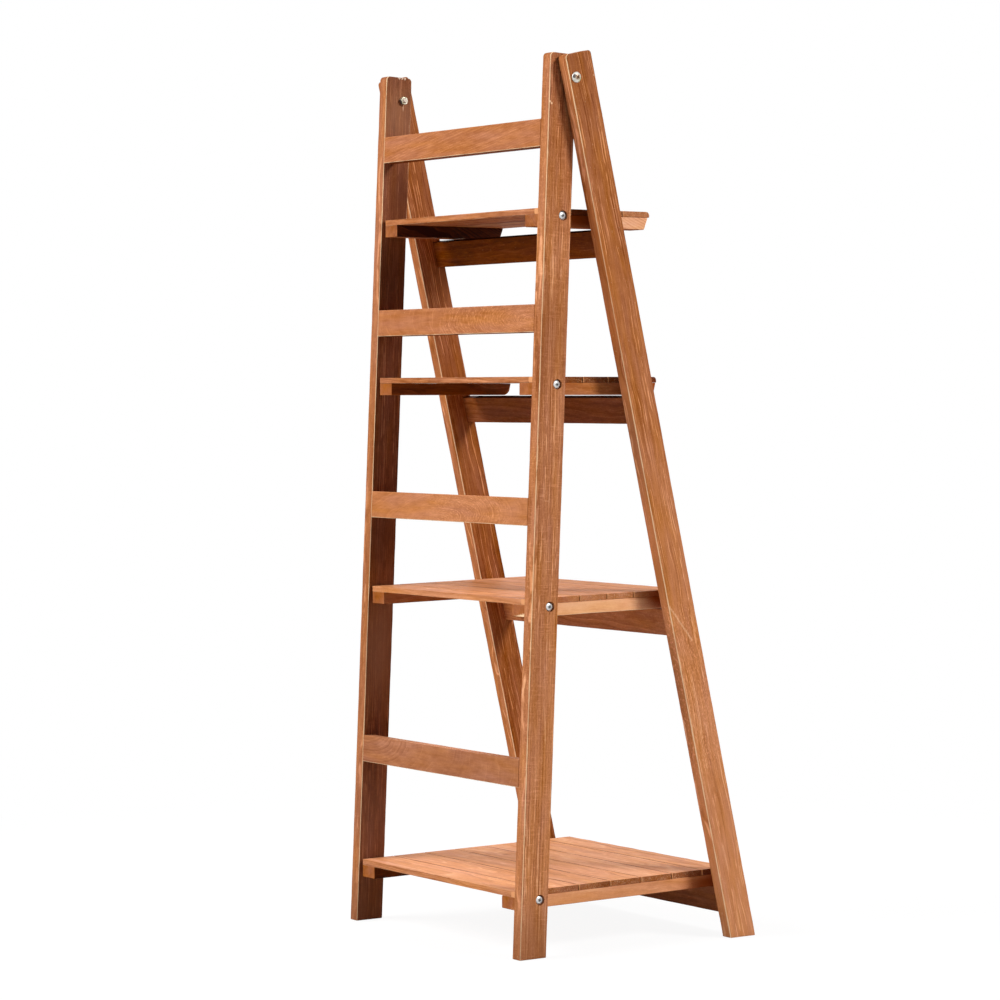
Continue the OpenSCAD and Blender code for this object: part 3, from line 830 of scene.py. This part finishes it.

# rails: the same
# rails 1 and 2 are darker: partly their own darker stain, partly painted shade under the shelves
RAIL_LOOKS = (
    dict(Pith=(-25, 30, 4), Drift=(0.04, 0.03, 12), Tone=0.73, Saturation=1.06),
    dict(Pith=(-30, 28, 4.6), Drift=(0.06, 0.02, 14), Tone=0.66),
    dict(Pith=(-18, 30, 3.6), Drift=(0.08, 0.02, 10), Tone=0.49),
    dict(Pith=(-22, 36, 3.8), Drift=(0.04, 0.03, 9), Tone=0.53),
)
for i, own in enumerate(RAIL_LOOKS):
    u = RAIL_TOP[i] - RAIL_H / 2
    # painted shade on the rails: the tops of rails 1 and 2 (b+) and all undersides (b-) darker
    look = dict(Seed=(70 * i + 400, 55 * i, 20 + 30 * i), Face_plus=(0, 0.3 if i < 2 else 0, 0),
                Face_minus=(0, 0.1, -0.15), Lines=0.06, Pale_lines=0.08, Streaks=0.14, Fine_lines=0.05, Speckle=0.3,
                Mottle=0.14, Fleck=0.2, Worn=0.8, **own)
    board("rail_%d" % (i + 1), "rear_rail_%d" % (i + 1), "rear_frame", RAIL_AXES,
          (-REAR_IN_X, REAR_IN_X), (u - RAIL_H / 2, u + RAIL_H / 2), (-RAIL_BACK, -RAIL_FRONT), look,
          radii=(0.9,) * 4, wear=(0.1, 0.1, 0.2, 0.4), end_r=(0.25, 0.25), seed=30.5 + i,
          bores=crosspiece_bores(REAR_IN_X, u, -RAIL_BACK + RAIL_T / 2, RAIL_DOWEL_D + 2 * DOWEL_PLAY))

# shelves
# shelf 2's darker tone is painted shadow of the rear leg; the others are the battens' own paler wood
BATTEN_TONE = (0.1, 0.5, 0.06, 0.22)  # of the right battens' outer faces, from shelf 1 to 4
# painted shade on the left battens' inner faces, under the slats
BATTEN_INNER = (0.88, 0.72, 0.55, 0.85)  # of the left battens' inner faces
SLAT_TONE = (0.43, 0.42, 0.3, 0.2)  # of the slats' top faces
# the ends are darker as end grain; shelf 2's are darker still: painted shadow of the rear leg
SLAT_END_TONE = (0.5, 0.72, 0.47, 0.6)  # of their ends towards +X
# painted shadow colours: the first for the battens and shelf 3's slat ends, the second for the other slat ends, where
# it also gives one slat end on shelf 4 its own darker end grain; the third is painted light for the slats' gap walls
SHADE, DARK_SHADOW_AND_GRAIN, GAP_PAINTED_LIGHT = srgb(148, 64, 4), srgb(96, 32, 0), srgb(232, 164, 112)
# painted shadows of the legs on the right battens, and on shelf 4 painted shade in the corner by the rail
BATTEN_SHADES = (  # depth, height, half sizes and strength of the dark parts of the right battens' outer faces
    ((40, 0, 62, 22, 0.97),),
    ((8, 4, 40, 14, 0.64), (150, 0, 30, 30, 0.82)),
    ((178, 4, 40, 26, 0.98),),
    ((268, -10, 62, 22, 0.9),),
)
# painted shadows of the legs on the slat ends, except shelf 4's second row, which is one slat end's own darker end
# grain
END_SHADOWS_AND_GRAIN = (  # the same for the slat ends
    ((24, 0, 74, 22, 0.8),),
    ((8, 4, 40, 14, 0.4), (152, 0, 30, 30, 0.75)),
    ((180, 0, 44, 26, 0.8), (22, 4, 34, 20, 0.35)),
    ((272, 0, 60, 20, 0.6), (108, 5.5, 17, 6, 0.35)),
)
SLAT_ARRIS = 0.4


def shelf_batten(k, side, word):
    """One batten of shelf k: b+ is up, c+ looks to +X."""
    name, right, tone = "shelf_%d" % (k + 1), side == 1, BATTEN_TONE[k]
    back = SHELF_D[k] - SHELF_FRONT - BATTEN_SET[k] - BATTEN_CUT[k]
    middle = (back - SHELF_FRONT) / 2
    marks = [mark((depth - middle, height - (BATTEN_LOW + BATTEN_TOP) / 2, BATTEN_W / 2), (long, high, 9),
                  SHADE, amount, 0.3, 0.75)
             for depth, height, long, high, amount in BATTEN_SHADES[k]] if right else []
    # painted shade under the shelf: the undersides (b-) and the right battens' inner faces (c-) darker; the front ends
    # (a-) are darker end grain
    look = dict(marks=marks, Seed=(33 * k, 200 + 70 * side, 44 * k), Pith=(14 + 3 * k, 30, 4.2 if k else 2.6),
                Drift=(0.02 * side if k else 0.45, 0.03, 8), Face_plus=(0.1, 0, 0 if right else BATTEN_INNER[k] - tone),
                Face_minus=(0.57 - tone, 0.55 - tone, 0.6 - tone if right else 0), Tone=tone,
                Lines=0.06 if k else 0.18, Pale_lines=0.1, Fine_lines=0.06, Streaks=0.16, Speckle=0.26, Mottle=0.25,
                Fleck=0.2 if right else 0, Saturation=1.03 if k else 1)
    board("%s_side_%s" % (name, word), "%s_batten_%s" % (name, word), name, shelf_axes(k, False),
          (-SHELF_FRONT, back), (BATTEN_LOW, BATTEN_TOP),
          span(side, SHELF_X - BATTEN_W, SHELF_X), look,
          radii=(0.9,) * 4, wear=(0.1, 1.3 if k == 2 and right else 0.4, 0.3, 0.3), ends=(0.1, 0.4),
          cuts=(0, BATTEN_CUT[k] / BATTEN_H), end_r=(0.6, 0.6), rounds=(BATTEN_R[k], 0),
          seed=50 + 3 * k + side, bores=pilot_bores(side))


def shelf_slat(k, i):
    """Slat i of shelf k: b- is the front, c+ is up."""
    name = "shelf_%d" % (k + 1)
    wide, y0 = SLAT_W[k], i * (SLAT_W[k] + SLAT_GAP) - SHELF_FRONT
    first, last = i == 0, i == SLAT_N[k] - 1
    tone = SLAT_TONE[k] + 0.04 * wobble(i * 3.1, k * 7.7, 0.4)
    # painted shadow on the slat ends, and on shelf 4 also one slat end's darker end grain
    tint = SHADE if k == 2 else DARK_SHADOW_AND_GRAIN
    marks = [mark((SHELF_X, depth - y0 - wide / 2, height - SLAT_UP + SLAT_T / 2), (1.2, long, high),
                  tint, amount, 0.3, 0.75)
             for depth, height, long, high, amount in END_SHADOWS_AND_GRAIN[k] if y0 - long < depth < y0 + wide + long]
    # painted light on the slats' front walls near their right ends, lifting the shade of the gaps there
    marks.append(mark((SHELF_X, -wide / 2, 0), (9, 1.2, 9), GAP_PAINTED_LIGHT, 0.9, 0, 0.2))
    # painted shade in the gaps: the slats' side walls inside the gaps (b+, b-) and their undersides darker
    look = dict(marks=marks, Seed=(61 * i + 500, 47 * i + 90 * k, 21 * k),
                Pith=(10 * wobble(i * 5.3, k * 2.1, 1.1), 26 + 9 * wobble(i * 1.7, k * 9.1), 5),
                Drift=(0.03 * wobble(i * 2.3, k * 4.4), 0.02, 9),
                Face_plus=(SLAT_END_TONE[k] - tone, 0.1 if last else 0.5, 0),
                Face_minus=(0.06, 0.18 if first and k == 3 else 0.05 if first else 0.5, 0.1),
                Tone=tone, Lines=0.1, Pale_lines=0.12, Fine_lines=0.14, Streaks=0.36, Speckle=0.28, Mottle=0.26,
                Fleck=0.1, Worn=0.9)
    board("%s_board_%d" % (name, i + 1), "%s_slat_%d" % (name, i + 1), name, shelf_axes(k, True),
          (-SHELF_X, SHELF_X), (y0, y0 + wide), (BATTEN_TOP, SLAT_UP), look,
          radii=(SLAT_R if last else SLAT_ARRIS,) + (SLAT_ARRIS,) * 3,
          wear=(0.1, 0.45 if first else 0.15, 0.6 if first else 0.1, 0.1), ends=(0.3, 0.4),
          end_r=(SLAT_ARRIS, SLAT_ARRIS), step=9, seed=70 + 9 * k + i, rag=0.35)


for k in range(4):
    for side, word in SIDES:
        shelf_batten(k, side, word)
    for i in range(SLAT_N[k]):
        shelf_slat(k, i)

# -------------------- hardware
# painted reflections: faces that look one way are tinted dark, green or grey; the brown and the screws' grey recess
# colour are painted shade in the cross recesses
DARK_REFLECTION, GREEN_REFLECTION, BROWN_RECESS = srgb(90, 88, 90), srgb(196, 206, 164), srgb(150, 104, 56)
ZINC = zinc("zinc", (srgb(236, 236, 236), srgb(206, 208, 210)), 0.3, srgb(120, 118, 116),
            (((0.3, 0.2, 1), 0.55, 0.9, srgb(150, 150, 152)),))
ZINC_BOLT = zinc("zinc_bolt", (srgb(236, 236, 230), srgb(206, 208, 196)), 0.36, BROWN_RECESS,
                 (((1, 0.9, -0.6), 0.84, 0.95, GREEN_REFLECTION), ((1, -0.75, 0.15), 0.93, 0.975, DARK_REFLECTION)))
ZINC_NUT = zinc("zinc_nut", (srgb(222, 216, 200), srgb(170, 164, 134)), 0.35, BROWN_RECESS,
                (((0, -1, -0.6), 0.4, 0.8, DARK_REFLECTION),))
TURNS = 48
ANGLES = [2 * math.pi * i / TURNS for i in range(TURNS)]
BEVEL = 0.25
SCREW_CROSS, BOLT_CROSS = (4.6, 0.95, 1.6), (6.6, 1.3, 2.2)  # length, width and depth of the slots
SCREW_THREAD, BOLT_THREAD = (1.8, 0.55), (1, 0.32)  # pitch and depth
BOLT_PAST_NUT = 2.2


def ring(bm, x, radii):
    """A row of vertices round the X axis."""
    return [bm.verts.new(Vector((x, r * math.cos(ang), r * math.sin(ang))) * MM) for r, ang in zip(radii, ANGLES)]


def lathe(name, profile):
    """Closed turned mesh about the X axis from (x, r) points in millimetres; both ends lie on the axis."""
    bm = bmesh.new()
    skin(bm, [ring(bm, x, [r] * (TURNS if r else 1)) for x, r in profile])
    return mesh_of(outwards(bm), name)


def pan_head(x1, d, head_d, head_h, rim=1, steps=9):
    """Profile of a pan head from the end of its shank to the middle of its top."""
    rise = head_h - rim
    r = (head_d * head_d / 4 + rise * rise) / (2 * rise)
    wide = math.asin(head_d / 2 / r)
    points = [(x1, d / 2), (x1, head_d / 2 - BEVEL), (x1 + BEVEL, head_d / 2), (x1 + rim - 0.3, head_d / 2)]
    for s in range(1, steps + 1):
        ang = wide * (1 - s / steps)
        points.append((x1 + head_h - r + r * math.cos(ang), r * math.sin(ang)))
    return points


def thread(x0, x1, d, pitch, depth):
    """Profile of a rolled thread from x0 to x1."""
    points, x = [], x0
    while x + pitch < x1:
        points += [(x, d / 2 - depth), (x + pitch / 2, d / 2)]
        x += pitch
    return points + [(x1, d / 2)]


def cross_recess(x1, length, width, depth):
    """Two tapered slots, one bmesh each, that open at x1 along X."""
    slots = []
    for turn in (45, 135):
        bm = bmesh.new()
        m = Matrix.Rotation(math.radians(turn), 4, "X")
        corners = []
        for x, shrink in ((x1 + 1, 1.15), (x1 - depth, 0.45)):
            for sy, sz in ((1, 1), (-1, 1), (-1, -1), (1, -1)):
                v = m @ Vector((x, sy * length / 2 * shrink, sz * width / 2 * max(shrink, 0.8)))
                corners.append(bm.verts.new(v * MM))
        bm.faces.new(corners[:4])
        bm.faces.new(list(reversed(corners[4:])))
        skin(bm, (corners[:4], corners[4:]))
        slots.append(outwards(bm))
    return slots


def hardware(name, node, body, mesh, places, mat):
    """Joins copies of a mesh into one piece that rides on body and stands for node."""
    bm = bmesh.new()
    for matrix in places:
        part = mesh.copy()
        part.transform(matrix)
        if matrix.determinant() < 0:
            part.flip_normals()
        bm.from_mesh(part)
        bpy.data.meshes.remove(part)
    dress(link(name, mesh_of(bm, name)), mat, body, node)


def headed(name, profile, x1, cross):
    """Turned screw with a cross recess in its head; its recess attribute paints shade in the recess and the middle of
    the head, and darkens the far end of the shank.
    """
    obj = link(name, lathe(name, profile))
    cut(obj, cross_recess(x1, *cross))
    mesh, length = obj.data, cross[0]
    layer = mesh.attributes.new("recess", "FLOAT", "POINT")
    for v, value in zip(mesh.vertices, layer.data):
        radius = math.hypot(v.co.y, v.co.z) / MM
        below = x1 - v.co.x / MM - radius * radius / (2.6 * length)
        # painted shade in the cross recess, spread over the middle of the head
        if radius < 0.75 * length and below < 4:
            value.value = max(0.8 * min(1, max(0, 2.5 - radius / (0.26 * length))), min(1, below - 0.1))
        elif below > 30:
            value.value = 0.55
    bpy.data.objects.remove(obj)
    return mesh


def pair(y, z, *spins):
    """Places of a screw's two copies, right and left, each turned by its own angle in degrees."""
    at = Matrix.Translation(Vector((0, y - MID_Y, z)) * MM)
    sides = Matrix(), Matrix.Scale(-1, 4, Vector((1, 0, 0)))
    return [side @ at @ Matrix.Rotation(math.radians(spin), 4, "X") for side, spin in zip(sides, spins)]


# pivot screws
SCREW_TIP = SHELF_X - SCREW_BITE
SCREW_SEAT = OUT_X - SCREW_SINK - SCREW_HEAD_H
profile = [(SCREW_TIP, 0), (SCREW_TIP + 0.3, 0.5)]
profile += thread(SCREW_TIP + 3, SHELF_X + 1, SCREW_D, *SCREW_THREAD)
profile += pan_head(SCREW_SEAT, SCREW_D, SCREW_HEAD_D, SCREW_HEAD_H)
screw = headed("pivot_screw", profile, SCREW_SEAT + SCREW_HEAD_H, SCREW_CROSS)
for k in range(4):
    places = pair(PIVOT_Y[k], PIVOT_Z[k], 20 + 31 * k, 65 + 17 * k)
    hardware("shelf_%d_pivot_screws" % (k + 1), "shelf_%d_screws" % (k + 1), "shelf_%d" % (k + 1), screw, places, ZINC)

# fold bolts
BOLT_SEAT = REAR_OUT_X + FACE_PLAY
BOLT_END = IN_X - NUT_T - BOLT_PAST_NUT
profile = [(BOLT_END, 0), (BOLT_END, BOLT_D / 2 - 0.8)]
profile += thread(BOLT_END + 0.6, IN_X + 0.5, BOLT_D, *BOLT_THREAD)
profile += pan_head(BOLT_SEAT, BOLT_D, BOLT_HEAD_D, BOLT_HEAD_H - BOLT_HEAD_IN)
bolt = headed("fold_bolt", profile, BOLT_SEAT + BOLT_HEAD_H, BOLT_CROSS)
hardware("fold_bolt_pair", "fold_bolts", "rear_frame", bolt, pair(FOLD_Y, FOLD_Z, 10, 10), ZINC_BOLT)

# fold nuts: a hexagon with its corners turned off at both faces, and a bore that widens at its ends
NUT_CHAMFER, NUT_FACE = 0.45, 0.97  # depth of the turned corners, and how wide the faces stay
NUT_MOUTH, NUT_PLAY = 0.35, 0.05
x0, x1 = IN_X - FACE_PLAY - NUT_T, IN_X - FACE_PLAY
flat, bore = NUT_AF / 2, BOLT_D / 2
point = flat / math.cos(math.pi / 6)
hexagon = [flat / math.cos((ang + math.pi / 6) % (math.pi / 3) - math.pi / 6) for ang in ANGLES]
bm = bmesh.new()
rows = [ring(bm, x, [min(r, limit) for r in hexagon]) for x, limit in (
    (x0, flat * NUT_FACE), (x0 + NUT_CHAMFER, point), (x1 - NUT_CHAMFER, point), (x1, flat * NUT_FACE))]
rows += [ring(bm, x, [r] * TURNS) for x, r in (
    (x1, bore + NUT_MOUTH), (x1 - 0.4, bore + NUT_PLAY), (x0 + 0.4, bore + NUT_PLAY), (x0, bore + NUT_MOUTH))]
skin(bm, rows + rows[:1])
nut = mesh_of(outwards(bm), "fold_nut")
hardware("fold_nut_pair", "fold_nuts", "rear_frame", nut, pair(FOLD_Y, FOLD_Z, 22, 22), ZINC_NUT)

# nodes that stay as they are
DOWEL_WOOD = wood("dowel_wood", Seed=(5, 6, 7), Tone=0.1, Lines=0.05, Fleck=0, Worn=0)
for node, mat in [("rung_dowels", DOWEL_WOOD), ("rail_dowels", DOWEL_WOOD), ("fold_washers", ZINC)] + [
        ("shelf_%d_pins" % k, ZINC) for k in (1, 2, 3, 4)]:
    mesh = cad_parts[node].data
    mesh.materials.clear()
    mesh.materials.append(mat)

# -------------------- floor, light and camera
FLOOR_HALF, FLOOR_DOWN, FLOOR_GREY = 30, 0.0005, 0.7
FLOOR_NEAR, FLOOR_FAR = 0.45, 1.3  # the shadow fades out between these distances from the stand
SHADOW_SHARE = 0.08
AMBIENT = 0.06
AIM = Vector((0, 0, 0.5))
LIGHTS = (  # name, place, side and power of square area lights
    ("key", (-0.9, -2.6, 2.7), 2.2, 135),
    ("side", (2.65, 1.05, 2.3), 0.9, 78),
    ("back", (-2, 1.6, 1.2), 1.4, 20),
)
CAMERA_LENS = dict(sensor_width=36, lens=115.52, shift_x=0.00437, shift_y=-0.12763, clip_end=200)
CAMERA_PLACE = (3.1814, -2.311, 0.6465)
CAMERA_TURN = (math.pi / 2 + 0.0079, 0, 0.9581)


def seen_rays(t):
    """1 for rays that show the background: camera, mirror and glass rays."""
    path = t.add("ShaderNodeLightPath")
    return t.math("MAXIMUM", path.outputs["Is Camera Ray"],
                  t.math("MAXIMUM", path.outputs["Is Glossy Ray"], path.outputs["Is Transmission Ray"]))


def stage_floor():
    """White floor that glows for the camera and keeps a faint shadow close to the stand."""
    mesh = bpy.data.meshes.new("floor")
    corners = [(sx * FLOOR_HALF, sy * FLOOR_HALF, 0) for sx, sy in ((-1, -1), (1, -1), (1, 1), (-1, 1))]
    mesh.from_pydata(corners, [], [(0, 1, 2, 3)])
    floor = link("floor", mesh)
    floor.location.z = -FLOOR_DOWN
    mat, t = material("floor")[:2]
    t.tree.nodes.clear()
    seen = seen_rays(t)
    away = t.vector("LENGTH", t.place())
    share = t.math("MULTIPLY", t.step(away, FLOOR_NEAR, FLOOR_FAR, 1, 0), SHADOW_SHARE)
    bright = t.scaled((2 * FLOOR_GREY,) * 3, share)
    diffuse = t.fill(t.add("ShaderNodeBsdfDiffuse"), Color=t.mix(seen, (FLOOR_GREY,) * 3 + (1,), bright))
    strength = t.math("MULTIPLY", seen, t.math("SUBTRACT", 1, share))
    glow = t.fill(t.add("ShaderNodeEmission"), Strength=strength)
    both = t.feed(t.add("ShaderNodeAddShader"), diffuse.outputs[0], glow.outputs[0])
    t.fill(t.add("ShaderNodeOutputMaterial"), Surface=both)
    mesh.materials.append(mat)


def world_light():
    """White background with a little light on the stand."""
    world = bpy.data.worlds.new("studio")
    bpy.context.scene.world = world
    world.use_nodes = True
    t = Tree(world.node_tree)
    strength = t.madd(seen_rays(t), 1 - AMBIENT, AMBIENT)
    t.fill(world.node_tree.nodes["Background"], Color=(1, 1, 1, 1), Strength=strength)


def softbox(name, place, size, power):
    """A square area light aimed at the stand."""
    lamp = bpy.data.lights.new(name, "AREA")
    lamp.shape = "SQUARE"
    lamp.size = size
    lamp.energy = power
    obj = link(name, lamp)
    obj.location = place
    obj.rotation_euler = (AIM - Vector(place)).to_track_quat("-Z", "Y").to_euler()


stage_floor()
world_light()
for light in LIGHTS:
    softbox(*light)

camera = link("camera", bpy.data.cameras.new("camera"))
for key, value in CAMERA_LENS.items():
    setattr(camera.data, key, value)
camera.location = CAMERA_PLACE
camera.rotation_euler = CAMERA_TURN
bpy.context.scene.camera = camera
bpy.context.scene.view_settings.view_transform = "Standard"
